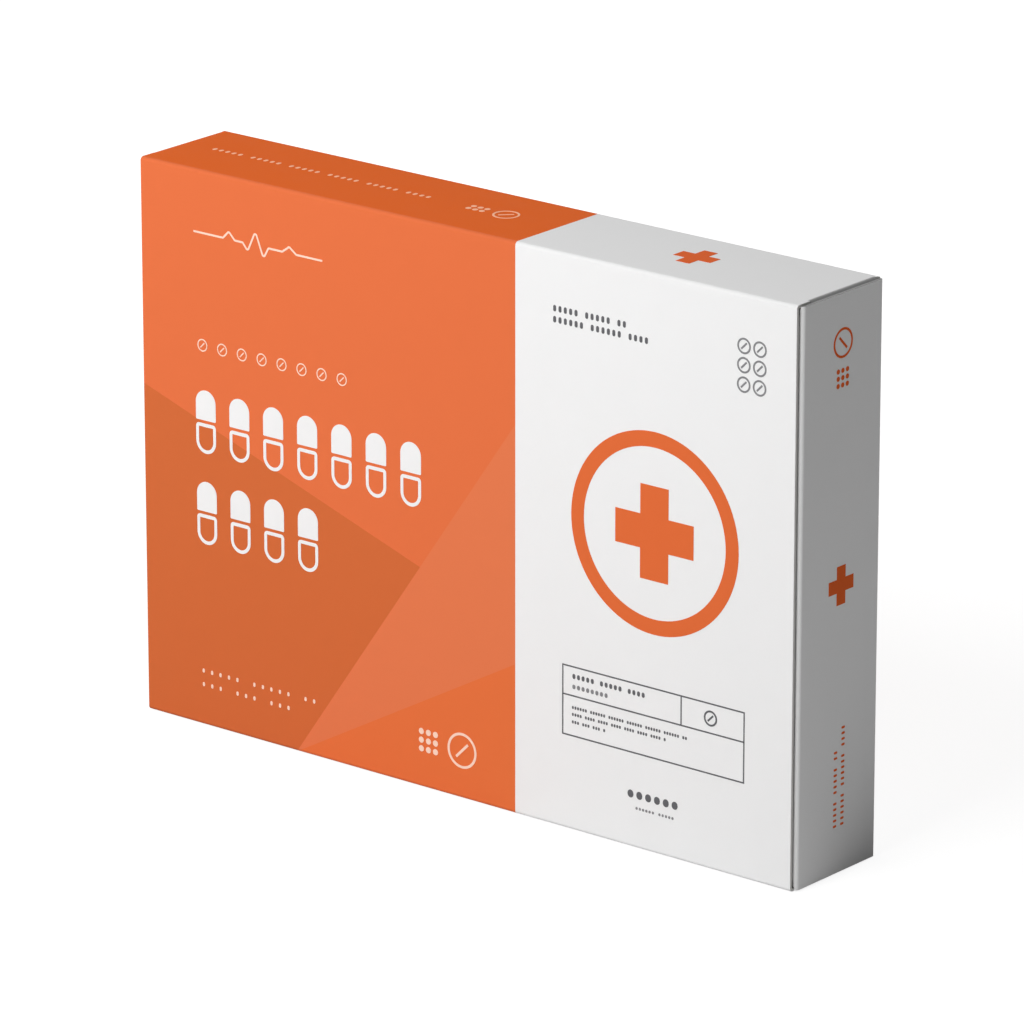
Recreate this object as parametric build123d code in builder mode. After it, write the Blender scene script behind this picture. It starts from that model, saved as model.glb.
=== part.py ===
"""Tuck-end pill carton: a folded card box that holds two blister sheets and a leaflet.

Millimetres. The box stands on its long narrow side: +Z is up, the front panel faces -Y, the
end flaps close the two ends along X, and the origin is at the middle of the floor.
"""

import os

from build123d import *

# Outside of the closed box
box_width = 128.0
box_depth = 20.0
box_height = 90.0

# Card, its folds and its glued seam
board = 0.45  # thickness of the card
fold_radius = 0.6  # outside radius of a scored fold
seam_inset = 0.25  # the floor panel's cut edge lies this far inside the back face
glue_flap_width = 12.0
glue_flap_slant = 5.0  # how far each end of the glue flap slants inwards
glue_flap_end_gap = 0.5  # from the glue flap's ends to the dust flaps
glue_line = 0.1  # thickness of the glue between the glue flap and the floor panel
glue_margin = 1.0  # bare card round the glue

# End flaps, hinged on the back panel
flap_top_gap = 0.3  # an end flap stops this far below the top face
flap_floor_gap = 0.15  # and this far above the floor
hinge_relief = 0.15  # the hinge folds stop this far from the long folds
flap_gap = 0.2  # between an end flap and the dust flaps behind it

# Tuck tabs, folded about a rolled bead on the end flaps' free edges
front_setback = 0.65  # the front panel's ends stop short of the end flaps, so the tuck folds show
bead_radius = 0.55
bead_end_gap = 0.25  # from the bead's ends to the top and floor panels
bead_clearance = 0.06
tuck_gap = 0.35  # between a tuck tab and the front panel
tuck_length = 10.0
tab_inset = 1.2  # from a tab's ends to the top and floor panels
tab_corner = 5.5

# Dust flaps, folded in from the top and floor panels
dust_length = 17.0
dust_front_gap = 1.8  # room for a tuck tab to swing out past the dust flaps
dust_back_gap = 0.6  # to the back panel
dust_slant = 3.0
dust_corner = 3.0

# Blister sheets: a flat sealed web with a pocket for each tablet
web_thickness = 0.4
pocket_depth = 4.4
pocket_radius = 7.0
pocket_columns = 5
pocket_rows = 4
pocket_side_margin = 13.5  # sheet's end to the first column of pockets
pocket_edge_margin = 12.0  # sheet's long edge to the first row of pockets
sheet_end_gap = 2.4  # sheet's end to the dust flaps
sheet_top_gap = 4.4  # sheet's upper edge to the top panel
sheet_corner = 4.0

# Leaflet, folded to and fro
paper = 0.2
leaf_pitch = 0.42  # from one layer to the next
leaf_layers = 6
leaflet_height = 44.0
leaflet_end_gap = 6.0

rest_gap = 0.2  # between things that lean on each other in the box

# Places worked out from the sizes above
half_board = board / 2
fold_line_radius = fold_radius - half_board  # a fold at the middle of the card
half_width = box_width / 2
half_depth = box_depth / 2
inner_back = half_depth - board
dust_outer = half_width - board - flap_gap
dust_inner = dust_outer - board
hinge_centre = (half_width - fold_radius, half_depth - fold_radius)
tab_front = -inner_back + tuck_gap
bead_centre = (half_width - bead_radius, tab_front + bead_radius)
dust_front_edge = tab_front + board + dust_front_gap
dust_back_edge = inner_back - dust_back_gap
flap_high = box_height - flap_top_gap
flap_height = flap_high - flap_floor_gap
hinge_low = board + glue_line + fold_radius + hinge_relief
hinge_high = box_height - fold_radius - hinge_relief
mid_level = Plane.XY.offset(box_height / 2)

# One dust flap, at the right end of the top panel
with BuildPart() as dust_flap:
    with BuildSketch(Plane.XZ.offset(-dust_front_edge)):
        with BuildLine():
            CenterArc((dust_outer - fold_radius, box_height - fold_radius), fold_line_radius, 0, 90)
        trace(line_width=board)
    extrude(amount=dust_front_edge - dust_back_edge)
    with BuildSketch(Plane.YZ.offset(dust_inner)) as dust_outline:
        with BuildLine():
            Polyline(
                (dust_front_edge, box_height - fold_radius),
                (dust_back_edge, box_height - fold_radius),
                (dust_back_edge, box_height - dust_length),
                (dust_front_edge + dust_slant, box_height - dust_length),
                close=True,
            )
        make_face()
        fillet(dust_outline.vertices().group_by(Axis.Y)[0], radius=dust_corner)
    extrude(amount=board)
right_dust_flaps = [dust_flap.part, mirror(dust_flap.part, about=mid_level)]
dust_flaps = right_dust_flaps + [mirror(flap, about=Plane.YZ) for flap in right_dust_flaps]

# The carton: one strip of card folded round into a tube and glued along the floor's back edge
with BuildPart() as carton:
    with BuildSketch(Plane.YZ):
        with BuildLine():
            FilletPolyline(
                (half_depth - seam_inset, half_board),
                (-half_depth + half_board, half_board),
                (-half_depth + half_board, box_height - half_board),
                (half_depth - half_board, box_height - half_board),
                (half_depth - half_board, board + glue_line + half_board),
                (half_depth - glue_flap_width, board + glue_line + half_board),
                radius=fold_line_radius,
            )
        trace(line_width=board)
    extrude(amount=half_width, both=True)

    # The top and floor panels stop at the dust flaps' folds, the back panel at the hinge folds, and
    # the front panel short of the end flaps
    with BuildSketch(Plane.XY) as end_cuts:
        with BuildLine():
            Polyline(
                (half_width, half_depth),
                (half_width - fold_radius, half_depth),
                (half_width - fold_radius, inner_back),
                (dust_outer, inner_back),
                (dust_outer, dust_back_edge),
                (dust_outer - fold_radius, dust_back_edge),
                (dust_outer - fold_radius, dust_front_edge),
                (dust_outer, dust_front_edge),
                (dust_outer, -inner_back),
                (half_width, -inner_back),
                close=True,
            )
        make_face()
        with Locations((half_width, -half_depth)):
            Rectangle(front_setback, board, align=(Align.MAX, Align.MIN))
        mirror(about=Plane.YZ)
    extrude(amount=box_height, mode=Mode.SUBTRACT)

    # Slanted ends of the glue flap
    glue_end = dust_inner - glue_flap_end_gap
    glue_fold = half_depth - fold_radius
    glue_edge = half_depth - glue_flap_width
    with BuildSketch(Plane.XY.offset(board + glue_line)):
        with BuildLine():
            Polyline(
                (glue_end, glue_fold),
                (glue_end - glue_flap_slant, glue_edge),
                (half_width, glue_edge),
                (half_width, glue_fold),
                close=True,
            )
        make_face()
        mirror(about=Plane.YZ)
    extrude(amount=board, mode=Mode.SUBTRACT)

    # The glue under the glue flap
    with BuildSketch(Plane.XY.offset(board)):
        with Locations((0, glue_fold - glue_margin)):
            Rectangle(
                2 * (glue_end - glue_flap_slant - glue_margin),
                glue_fold - glue_edge - 2 * glue_margin,
                align=(Align.CENTER, Align.MAX),
            )
    extrude(amount=glue_line)

    # The back panel's half of the two hinge folds
    with BuildSketch(Plane.XY.offset(hinge_low)):
        with BuildLine():
            CenterArc(hinge_centre, fold_line_radius, 45, 45)
        trace(line_width=board)
        mirror(about=Plane.YZ)
    extrude(amount=hinge_high - hinge_low)

    add(dust_flaps)

# End flap: its half of the hinge fold, the panel, the outside of the tuck fold, and the bead in it
with BuildPart() as right_end_flap:
    with BuildSketch(Plane.YZ.offset(half_width)):
        with Locations((hinge_centre[1], flap_floor_gap)):
            Rectangle(hinge_centre[1] - bead_centre[1], flap_height, align=(Align.MAX, Align.MIN))
    extrude(amount=-board)
    with BuildSketch(Plane.XY.offset(flap_floor_gap)):
        with BuildLine():
            CenterArc(hinge_centre, fold_line_radius, 0, 45)
        trace(line_width=board)
    extrude(amount=flap_height)
    with BuildSketch(Plane.XY.offset(flap_floor_gap)):
        with Locations(bead_centre):
            Circle(bead_radius)
            Rectangle(bead_radius, bead_radius, align=(Align.MIN, Align.MAX), mode=Mode.INTERSECT)
    extrude(amount=flap_height)
    with BuildSketch(Plane.XY.offset(board + bead_end_gap)):
        with Locations(bead_centre):
            Circle(bead_radius)
    extrude(amount=box_height - 2 * (board + bead_end_gap))

# Tuck tab: a flat leaf with rounded free corners, hollowed along its root to turn on the bead
with BuildPart() as right_tuck_tab:
    with BuildSketch(Plane.XZ.offset(-tab_front)) as tab_outline:
        with Locations((bead_centre[0], box_height / 2)):
            Rectangle(
                tuck_length - bead_radius,
                box_height - 2 * (board + tab_inset),
                align=(Align.MAX, Align.CENTER),
            )
        fillet(tab_outline.vertices().group_by(Axis.X)[0], radius=tab_corner)
    extrude(amount=-board)
    with BuildSketch(Plane.XY):
        with Locations(bead_centre):
            Circle(bead_radius + bead_clearance)
    extrude(amount=box_height, mode=Mode.SUBTRACT)

with BuildPart() as left_end_flap:
    add(mirror(right_end_flap.part, about=Plane.YZ, mode=Mode.PRIVATE))

with BuildPart() as left_tuck_tab:
    add(mirror(right_tuck_tab.part, about=Plane.YZ, mode=Mode.PRIVATE))

# What stands in the box, from the back panel forwards, on the glue flap
stand_level = 2 * board + glue_line
leaflet_back = inner_back - rest_gap
leaflet_thickness = (leaf_layers - 1) * leaf_pitch + paper
sheet_thickness = web_thickness + pocket_depth
rear_sheet_back = leaflet_back - leaflet_thickness - rest_gap
front_sheet_back = rear_sheet_back - sheet_thickness - rest_gap
sheet_length = 2 * (dust_inner - sheet_end_gap)
sheet_height = box_height - board - stand_level - sheet_top_gap
sheet_middle = stand_level + sheet_height / 2
column_pitch = (sheet_length - 2 * pocket_side_margin) / (pocket_columns - 1)
row_pitch = (sheet_height - 2 * pocket_edge_margin) / (pocket_rows - 1)


def build_blister_sheet(back_face):
    """Return one sheet with its flat foil side at y = back_face and its pockets towards the front."""
    with BuildPart() as sheet:
        with BuildSketch(Plane.XZ.offset(-back_face)):
            with Locations((0, sheet_middle)):
                RectangleRounded(sheet_length, sheet_height, sheet_corner)
        extrude(amount=web_thickness)
        with BuildSketch(Plane.XZ.offset(web_thickness - back_face)):
            with Locations((0, sheet_middle)):
                with GridLocations(column_pitch, row_pitch, pocket_columns, pocket_rows):
                    Circle(pocket_radius)
        extrude(amount=pocket_depth)
    return sheet


rear_blister_sheet = build_blister_sheet(rear_sheet_back)
front_blister_sheet = build_blister_sheet(front_sheet_back)

# Leaflet: one strip of paper folded to and fro, with its folds at the top and at the bottom
turn_radius = leaf_pitch / 2
lower_turn = stand_level + rest_gap / 2 + turn_radius + paper / 2
upper_turn = lower_turn + leaflet_height - 2 * turn_radius - paper
with BuildPart() as leaflet:
    with BuildSketch(Plane.YZ):
        with BuildLine():
            for layer in range(leaf_layers):
                layer_y = leaflet_back - paper / 2 - layer * leaf_pitch
                Line((layer_y, lower_turn), (layer_y, upper_turn))
                if layer < leaf_layers - 1:
                    turn_level = upper_turn if layer % 2 == 0 else lower_turn
                    turn_sweep = 180 if layer % 2 == 0 else -180
                    CenterArc((layer_y - turn_radius, turn_level), turn_radius, 0, turn_sweep)
        trace(line_width=paper)
    extrude(amount=dust_inner - leaflet_end_gap, both=True)

os.makedirs("parts", exist_ok=True)
pieces = {
    "carton": carton,
    "right_end_flap": right_end_flap,
    "right_tuck_tab": right_tuck_tab,
    "left_end_flap": left_end_flap,
    "left_tuck_tab": left_tuck_tab,
    "front_blister_sheet": front_blister_sheet,
    "rear_blister_sheet": rear_blister_sheet,
    "leaflet": leaflet,
}
for name, piece in pieces.items():
    piece.part.label = name
    export_step(piece.part, f"parts/{name}.step")
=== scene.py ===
import math

import bmesh
import bpy
from mathutils import Matrix, Vector


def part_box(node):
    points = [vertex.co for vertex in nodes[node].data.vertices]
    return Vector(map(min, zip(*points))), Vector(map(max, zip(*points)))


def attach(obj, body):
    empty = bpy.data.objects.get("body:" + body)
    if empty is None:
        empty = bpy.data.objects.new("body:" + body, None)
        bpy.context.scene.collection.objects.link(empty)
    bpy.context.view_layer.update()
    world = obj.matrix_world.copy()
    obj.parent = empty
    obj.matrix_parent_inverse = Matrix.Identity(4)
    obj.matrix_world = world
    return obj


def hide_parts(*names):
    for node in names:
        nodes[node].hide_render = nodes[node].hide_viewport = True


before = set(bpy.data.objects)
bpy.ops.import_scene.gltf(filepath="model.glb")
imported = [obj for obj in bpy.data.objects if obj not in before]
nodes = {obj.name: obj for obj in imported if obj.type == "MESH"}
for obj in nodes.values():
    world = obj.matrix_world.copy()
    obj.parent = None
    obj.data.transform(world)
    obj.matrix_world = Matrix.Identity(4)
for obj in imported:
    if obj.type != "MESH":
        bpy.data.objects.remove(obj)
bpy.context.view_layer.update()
scene = bpy.context.scene
mm = 0.001

# the closed box, from the frame
halfDepth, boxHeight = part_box("carton")[1][1:]
flapLow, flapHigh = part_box("right_end_flap")
halfWidth = flapHigh[0]
flapMiddle = (flapLow[2] + flapHigh[2]) / 2
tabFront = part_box("right_tuck_tab")[0][1]
boxMiddle = Vector((0, 0, boxHeight / 2))
print("frame loaded:", len(nodes), "nodes")


def addObject(name, data):
    made = bpy.data.objects.new(name, data)
    scene.collection.objects.link(made)
    return made


def outward(azimuth, elevation):
    # direction from the box: degrees round from the front panel, and up from the floor
    turn = math.radians(azimuth)
    rise = math.radians(elevation)
    return Vector((math.sin(turn) * math.cos(rise), -math.cos(turn) * math.cos(rise), math.sin(rise)))


# camera at the photograph's viewing angle
cameraView = {
    "yaw": 39.39,  # degrees round from the front panel, towards the right end
    "pitch": 18.11,  # degrees above the floor
    "distance": 1.1378,
    "aside": 1.74 * mm,
    "raised": -1.7 * mm,
    "lens": 264.4,
    "sensor": 36.0,
    "nearClip": 0.01,
}


def makeCamera(view):
    yaw = math.radians(view["yaw"])
    back = outward(view["yaw"], view["pitch"])
    right = Vector((math.cos(yaw), math.sin(yaw), 0))
    up = back.cross(right)
    data = bpy.data.cameras.new("productCamera")
    data.lens = view["lens"]
    data.sensor_width = view["sensor"]
    data.clip_start = view["nearClip"]
    camera = addObject("productCamera", data)
    place = boxMiddle + right * view["aside"] + up * view["raised"] + back * view["distance"]
    turn = Matrix((right, up, back)).transposed().to_4x4()
    camera.matrix_world = Matrix.Translation(place) @ turn
    scene.camera = camera


makeCamera(cameraView)
print("camera set")


# helpers for node trees, of shaders and of geometry

def addNode(tree, kind, inputs=None, **settings):
    made = tree.nodes.new(kind)
    for name, value in settings.items():
        setattr(made, name, value)
    for key, value in (inputs or {}).items():
        plug(tree, made.inputs[key], value)
    return made


def plug(tree, socket, value):
    if isinstance(value, bpy.types.NodeSocket):
        tree.links.new(value, socket)
    else:
        socket.default_value = value


def calc(tree, operation, first, second=None):
    made = addNode(tree, "ShaderNodeMath", {0: first}, operation=operation)
    if second is not None:
        plug(tree, made.inputs[1], second)
    return made.outputs[0]


def allOf(tree, *masks):
    result = masks[0]
    for mask in masks[1:]:
        result = calc(tree, "MULTIPLY", result, mask)
    return result


def stepAbove(tree, value, edge):
    return calc(tree, "GREATER_THAN", value, edge)


def flip(tree, mask):
    return calc(tree, "SUBTRACT", 1.0, mask)


def combine(tree, **parts):
    return addNode(tree, "ShaderNodeCombineXYZ", parts).outputs[0]


def separate(tree, vector):
    parts = addNode(tree, "ShaderNodeSeparateXYZ", {0: vector}).outputs
    return parts[0], parts[1], parts[2]


def scaled(tree, vector, factor):
    made = addNode(tree, "ShaderNodeVectorMath", {0: vector, "Scale": factor}, operation="SCALE")
    return made.outputs[0]


def mixColour(tree, share, first, second):
    # sockets 6, 7 and 2 are the node's two colours and their mix
    made = addNode(tree, "ShaderNodeMix", {"Factor": share, 6: first, 7: second}, data_type="RGBA")
    return made.outputs[2]


def screenColour(red, green, blue):
    # linear colour of an 8-bit screen colour
    def linear(value):
        value /= 255
        return value / 12.92 if value <= 0.04045 else ((value + 0.055) / 1.055) ** 2.4
    return (linear(red), linear(green), linear(blue), 1.0)


def newGroup(name, kind, inputs, outputs):
    group = bpy.data.node_groups.new(name, kind)
    for label, socketKind, value in inputs:
        socket = group.interface.new_socket(label, in_out="INPUT", socket_type=socketKind)
        if value is not None:
            socket.default_value = value
    for label, socketKind in outputs:
        group.interface.new_socket(label, in_out="OUTPUT", socket_type=socketKind)
    return group, group.nodes.new("NodeGroupInput"), group.nodes.new("NodeGroupOutput")


def newMaterial(name):
    material = bpy.data.materials.new(name)
    material.use_nodes = True
    tree = material.node_tree
    coords = tree.nodes.new("ShaderNodeTexCoord").outputs["Object"]
    return material, tree, tree.nodes["Principled BSDF"], coords


# shared effect: the grain of card, ink, paper, film and foil
grainMix = {
    "fine": (3.0, 0.55, 0.6),  # detail, roughness and weight of the noise
    "broad": (2.0, 0.5, 0.4),
    "middle": 0.5,  # the level that the noise swings about
    "bumpStrength": 0.25,
}


def makeGrainGroup(mix):
    group, start, end = newGroup(
        "sheetGrain",
        "ShaderNodeTree",
        [
            ("Vector", "NodeSocketVector", None),
            ("Fine Scale", "NodeSocketFloat", 2600.0),
            ("Broad Scale", "NodeSocketFloat", 210.0),
            ("Tone Spread", "NodeSocketFloat", 0.02),
            ("Roughness", "NodeSocketFloat", 0.5),
            ("Roughness Spread", "NodeSocketFloat", 0.08),
        ],
        [("Tone", "NodeSocketFloat"), ("Roughness", "NodeSocketFloat"), ("Height", "NodeSocketFloat")],
    )
    given = start.outputs

    def noise(name, scale):
        detail, roughness, weight = mix[name]
        made = addNode(group, "ShaderNodeTexNoise", {
            "Vector": given["Vector"], "Scale": given[scale], "Detail": detail, "Roughness": roughness,
        })
        return calc(group, "MULTIPLY", made.outputs["Fac"], weight)

    height = calc(group, "ADD", noise("fine", "Fine Scale"), noise("broad", "Broad Scale"))
    swing = calc(group, "SUBTRACT", height, mix["middle"])
    tone = calc(group, "ADD", 1.0, calc(group, "MULTIPLY", swing, given["Tone Spread"]))
    roughSwing = calc(group, "MULTIPLY", swing, given["Roughness Spread"])
    plug(group, end.inputs["Tone"], tone)
    plug(group, end.inputs["Roughness"], calc(group, "ADD", given["Roughness"], roughSwing))
    plug(group, end.inputs["Height"], height)
    return group


grainGroup = makeGrainGroup(grainMix)


def finishSheet(tree, shader, coords, colour, grain, bumpDistance):
    # grain over a colour, with its roughness and bump
    effect = addNode(tree, "ShaderNodeGroup", {"Vector": coords, **grain}, node_tree=grainGroup)
    source = colour if isinstance(colour, bpy.types.NodeSocket) else colour[:3]
    plug(tree, shader.inputs["Base Color"], scaled(tree, source, effect.outputs["Tone"]))
    plug(tree, shader.inputs["Roughness"], effect.outputs["Roughness"])
    bump = addNode(tree, "ShaderNodeBump", {
        "Strength": grainMix["bumpStrength"], "Distance": bumpDistance, "Height": effect.outputs["Height"],
    })
    plug(tree, shader.inputs["Normal"], bump.outputs["Normal"])


# printed card: fields of colour outside, bare board inside and on the cut edges, with painted shade on some
# folds and edges
cardPrint = {
    "white": screenColour(236, 236, 236),
    "board": screenColour(212, 211, 207),
    "orange": screenColour(224, 112, 66),
    # painted shade: a darker, more saturated copy of the orange for the top, bottom and ends
    "shadedSideOrange": screenColour(226, 100, 30),
    "shadeFacet": screenColour(206, 104, 56),
    "paleFacet": screenColour(224, 119, 76),
    "lowFacet": screenColour(225, 112, 61),
    "split": 11.1 * mm,  # the orange field ends here along the front
    "facetFoot": -32.6 * mm,  # where the two slanting facet edges meet the floor
    "steepSlope": 1.413,
    "gentleSlope": 0.548,
    "fallStart": 53.9 * mm,  # height of the falling facet edge at the left end
    "fallSlope": -0.328,
    "foldRadius": 0.6 * mm,
    "longFoldPaintedShade": 0.06,  # painted shade: how much the long folds darken, which dulls their highlight
    "dustFoldPaintedShade": 0.58,  # painted shade on the dust flaps' folds at the right end, turned from the light
    "edgePaintedShade": 0.62,  # painted shade on the cut top and bottom of the right end flap
    "boardSkin": 0.12 * mm,  # printed faces lie within this of the outline
    "edgeSkin": 0.02 * mm,
    "dustFace": 63.35 * mm,  # outside of the dust flaps
    "dustSpan": (-6.95 * mm, 8.95 * mm),  # their front and back edges
    "glueFold": 0.55 * mm,  # height of the back panel's fold over the floor panel
    "seamEdge": 0.3 * mm,  # the floor panel's cut edge lies within this of the back
    "specular": 0.05,
    "grain": {"Tone Spread": 0.03, "Roughness": 0.6, "Roughness Spread": 0.2},
    "bump": 0.02 * mm,
}


def roundedOutline(tree, first, second, halfFirst, halfSecond, radius):
    # distance from the outline of a rounded rectangle, below zero inside it,
    # and a swell from 0 to 1 over its corners
    overFirst = calc(tree, "SUBTRACT", calc(tree, "ABSOLUTE", first), halfFirst - radius)
    overSecond = calc(tree, "SUBTRACT", calc(tree, "ABSOLUTE", second), halfSecond - radius)
    cornerFirst = calc(tree, "MAXIMUM", overFirst, 0.0)
    cornerSecond = calc(tree, "MAXIMUM", overSecond, 0.0)
    squareFirst = allOf(tree, cornerFirst, cornerFirst)
    squareSecond = allOf(tree, cornerSecond, cornerSecond)
    corner = calc(tree, "SQRT", calc(tree, "ADD", squareFirst, squareSecond))
    inner = calc(tree, "MINIMUM", calc(tree, "MAXIMUM", overFirst, overSecond), 0.0)
    outline = calc(tree, "ADD", corner, inner)
    swell = calc(tree, "MULTIPLY", allOf(tree, cornerFirst, cornerSecond), 2 / radius ** 2)
    return calc(tree, "SUBTRACT", outline, radius), swell


def broadPanels(tree, y):
    # masks of the front panel, and of the front and back panels together
    onFront = calc(tree, "LESS_THAN", y, -halfDepth + cardPrint["foldRadius"])
    onBack = stepAbove(tree, y, halfDepth - cardPrint["edgeSkin"])
    return onFront, calc(tree, "MAXIMUM", onFront, onBack)


def frontField(tree, x, y, z, look):
    # tonal facets of the front panel, then the white field
    fromFoot = calc(tree, "SUBTRACT", x, look["facetFoot"])
    leftOfSteep = stepAbove(tree, z, calc(tree, "MULTIPLY", fromFoot, look["steepSlope"]))
    rightOfSteep = flip(tree, leftOfSteep)
    aboveGentle = stepAbove(tree, z, calc(tree, "MULTIPLY", fromFoot, look["gentleSlope"]))
    belowGentle = flip(tree, aboveGentle)
    fallen = calc(tree, "MULTIPLY", calc(tree, "ADD", x, halfWidth), look["fallSlope"])
    belowFall = flip(tree, stepAbove(tree, z, calc(tree, "ADD", fallen, look["fallStart"])))
    onFront, onBroad = broadPanels(tree, y)
    # painted shade: the shaded copy of the orange off the front and back panels
    colour = mixColour(tree, onBroad, look["shadedSideOrange"], look["orange"])
    for first, second, tone in (
        (leftOfSteep, belowFall, "shadeFacet"),
        (rightOfSteep, aboveGentle, "paleFacet"),
        (rightOfSteep, belowGentle, "lowFacet"),
    ):
        colour = mixColour(tree, allOf(tree, first, second, onFront), colour, look[tone])
    return mixColour(tree, stepAbove(tree, x, look["split"]), colour, look["white"])


def cartonMasks(tree, x, y, z, look):
    # where the carton is printed, and the painted shade on its folds
    radius = look["foldRadius"]
    skin = -look["boardSkin"]
    fromMiddle = calc(tree, "SUBTRACT", z, boxHeight / 2)
    tube, longFolds = roundedOutline(tree, y, fromMiddle, halfDepth, boxHeight / 2, radius)
    dust, dustFolds = roundedOutline(tree, x, fromMiddle, look["dustFace"], boxHeight / 2, radius)
    endFace, _ = roundedOutline(tree, x, y, halfWidth, halfDepth, radius)
    aboveSeam = calc(tree, "SUBTRACT", z, (boxHeight + look["glueFold"]) / 2)
    seam, _ = roundedOutline(tree, y, aboveSeam, halfDepth, (boxHeight - look["glueFold"]) / 2, radius)
    front, back = look["dustSpan"]
    fromDust = calc(tree, "ABSOLUTE", calc(tree, "SUBTRACT", y, (front + back) / 2))
    onDust = calc(tree, "LESS_THAN", fromDust, (back - front) / 2)
    nearBack = stepAbove(tree, y, halfDepth - 2 * radius)
    overFloor = stepAbove(tree, z, look["glueFold"] - look["edgeSkin"])
    printed = stepAbove(tree, tube, skin)
    for mask in (
        allOf(tree, stepAbove(tree, dust, skin), onDust),
        allOf(tree, stepAbove(tree, endFace, skin), nearBack),
        allOf(tree, stepAbove(tree, seam, skin), nearBack, overFloor),
    ):
        printed = calc(tree, "MAXIMUM", printed, mask)
    cutEdge = allOf(tree, stepAbove(tree, y, halfDepth - look["seamEdge"]), flip(tree, overFloor))
    # painted shade only at the right end, whose folds are turned from the light
    rightDustShade = allOf(tree, dustFolds, onDust, stepAbove(tree, x, 0.0))
    # painted shade on the long folds
    longFoldShade = calc(tree, "MULTIPLY", longFolds, look["longFoldPaintedShade"])
    shade = calc(tree, "ADD", longFoldShade, calc(tree, "MULTIPLY", rightDustShade, look["dustFoldPaintedShade"]))
    return allOf(tree, printed, flip(tree, cutEdge)), shade


def flapMasks(tree, x, y, z, look, part):
    # where an end flap or a tuck tab is printed, and the painted shade on the right flap's cut edges
    endFace, _ = roundedOutline(tree, x, y, halfWidth, halfDepth, look["foldRadius"])
    onFace = stepAbove(tree, endFace, -look["boardSkin"])
    foldSkin = look["foldRadius"] if part == "flap" else look["boardSkin"]
    onFold = calc(tree, "LESS_THAN", y, tabFront + foldSkin)
    fromMiddle = calc(tree, "ABSOLUTE", calc(tree, "SUBTRACT", z, flapMiddle))
    onEdge = stepAbove(tree, fromMiddle, flapHigh[2] - flapMiddle - look["edgeSkin"])
    printed = calc(tree, "MAXIMUM", onEdge, calc(tree, "MAXIMUM", onFace, onFold))
    # painted shade only on the right flap, which is turned from the light
    rightEdgeShade = allOf(tree, onEdge, stepAbove(tree, x, 0.0))
    return printed, calc(tree, "MULTIPLY", rightEdgeShade, look["edgePaintedShade"])


def makeCardMaterial(name, look, part):
    material, tree, shader, coords = newMaterial(name)
    x, y, z = separate(tree, coords)
    if part == "carton":
        printed, shade = cartonMasks(tree, x, y, z, look)
        ink = frontField(tree, x, y, z, look)
    else:
        printed, shade = flapMasks(tree, x, y, z, look, part)
        # painted shade: the left flap takes the shaded copy of the orange
        ink = mixColour(tree, stepAbove(tree, x, 0.0), look["shadedSideOrange"], look["white"])
    # the ink is darkened by the painted shade of folds and edges
    colour = mixColour(tree, printed, look["board"], scaled(tree, ink, flip(tree, shade)))
    shader.inputs["Specular IOR Level"].default_value = look["specular"]
    finishSheet(tree, shader, coords, colour, look["grain"], look["bump"])
    return material


cartonCard = makeCardMaterial("printedCarton", cardPrint, "carton")
flapCard = makeCardMaterial("printedFlaps", cardPrint, "flap")
tabCard = makeCardMaterial("printedTabs", cardPrint, "tab")


def coverNode(name, material):
    mesh = nodes[name].data
    mesh.materials.clear()
    mesh.materials.append(material)


coverNode("carton", cartonCard)
for end in ("right", "left"):
    coverNode(end + "_end_flap", flapCard)
    coverNode(end + "_tuck_tab", tabCard)
print("card covered")


# leaflet paper, with faint lines of grey print
leafletLook = {
    "paper": screenColour(232, 230, 222),
    "print": screenColour(176, 175, 172),
    "wordLength": 3.4 * mm,
    "lineHeight": 1.5 * mm,
    "lineGap": 0.42 * mm,
    "wordBias": -0.6,  # below zero, more words are printed than left out
    "stagger": 0.37,  # of one line against the next
    "grain": {"Fine Scale": 3800.0, "Tone Spread": 0.08, "Roughness": 0.85, "Roughness Spread": 0.15},
    "bump": 0.03 * mm,
}


def makeLeafletPaper(look):
    material, tree, shader, coords = newMaterial("leafletPaper")
    x, _, z = separate(tree, coords)
    lines = addNode(tree, "ShaderNodeTexBrick", {
        "Vector": combine(tree, X=x, Y=z), "Scale": 1.0,
        "Color1": look["print"], "Color2": look["paper"], "Mortar": look["paper"],
        "Mortar Size": look["lineGap"], "Mortar Smooth": 0.0, "Bias": look["wordBias"],
        "Brick Width": look["wordLength"], "Row Height": look["lineHeight"],
    }, offset=look["stagger"])
    finishSheet(tree, shader, coords, lines.outputs["Color"], look["grain"], look["bump"])
    return material


coverNode("leaflet", makeLeafletPaper(leafletLook))
print("leaflet covered")


# printed marks: thin films of ink laid on the panels
inkFilm = {"proud": 0.03 * mm, "sunk": 0.02 * mm}
inkDepth = inkFilm["proud"] + inkFilm["sunk"]
panelAxes = {  # along, up, out and a point on the panel
    "front": ((1, 0, 0), (0, 0, 1), (0, -1, 0), (0, -halfDepth, 0)),
    "back": ((-1, 0, 0), (0, 0, 1), (0, 1, 0), (0, halfDepth, 0)),
    "top": ((1, 0, 0), (0, 1, 0), (0, 0, 1), (0, 0, boxHeight)),
    "rightEnd": ((0, 1, 0), (0, 0, 1), (1, 0, 0), (halfWidth, 0, 0)),
    "leftEnd": ((0, -1, 0), (0, 0, 1), (-1, 0, 0), (-halfWidth, 0, 0)),
}
# the front's marks come again on the back, this far along in the same field
orangeFieldShift = halfWidth - cardPrint["split"]
whiteFieldShift = -halfWidth - cardPrint["split"]
printPieces = {  # ink, body and shift on the back
    "whitePrint": ("white", "box", orangeFieldShift),
    "softPrint": ("softWhite", "box", orangeFieldShift),
    "orangePrint": ("orange", "box", whiteFieldShift),
    "greyPrint": ("grey", "box", whiteFieldShift),
    "palePrint": ("paleGrey", "box", whiteFieldShift),
    "endPrint": ("orange", "right_flap", None),
    "leftEndPrint": ("white", "left_flap", None),
}


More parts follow.
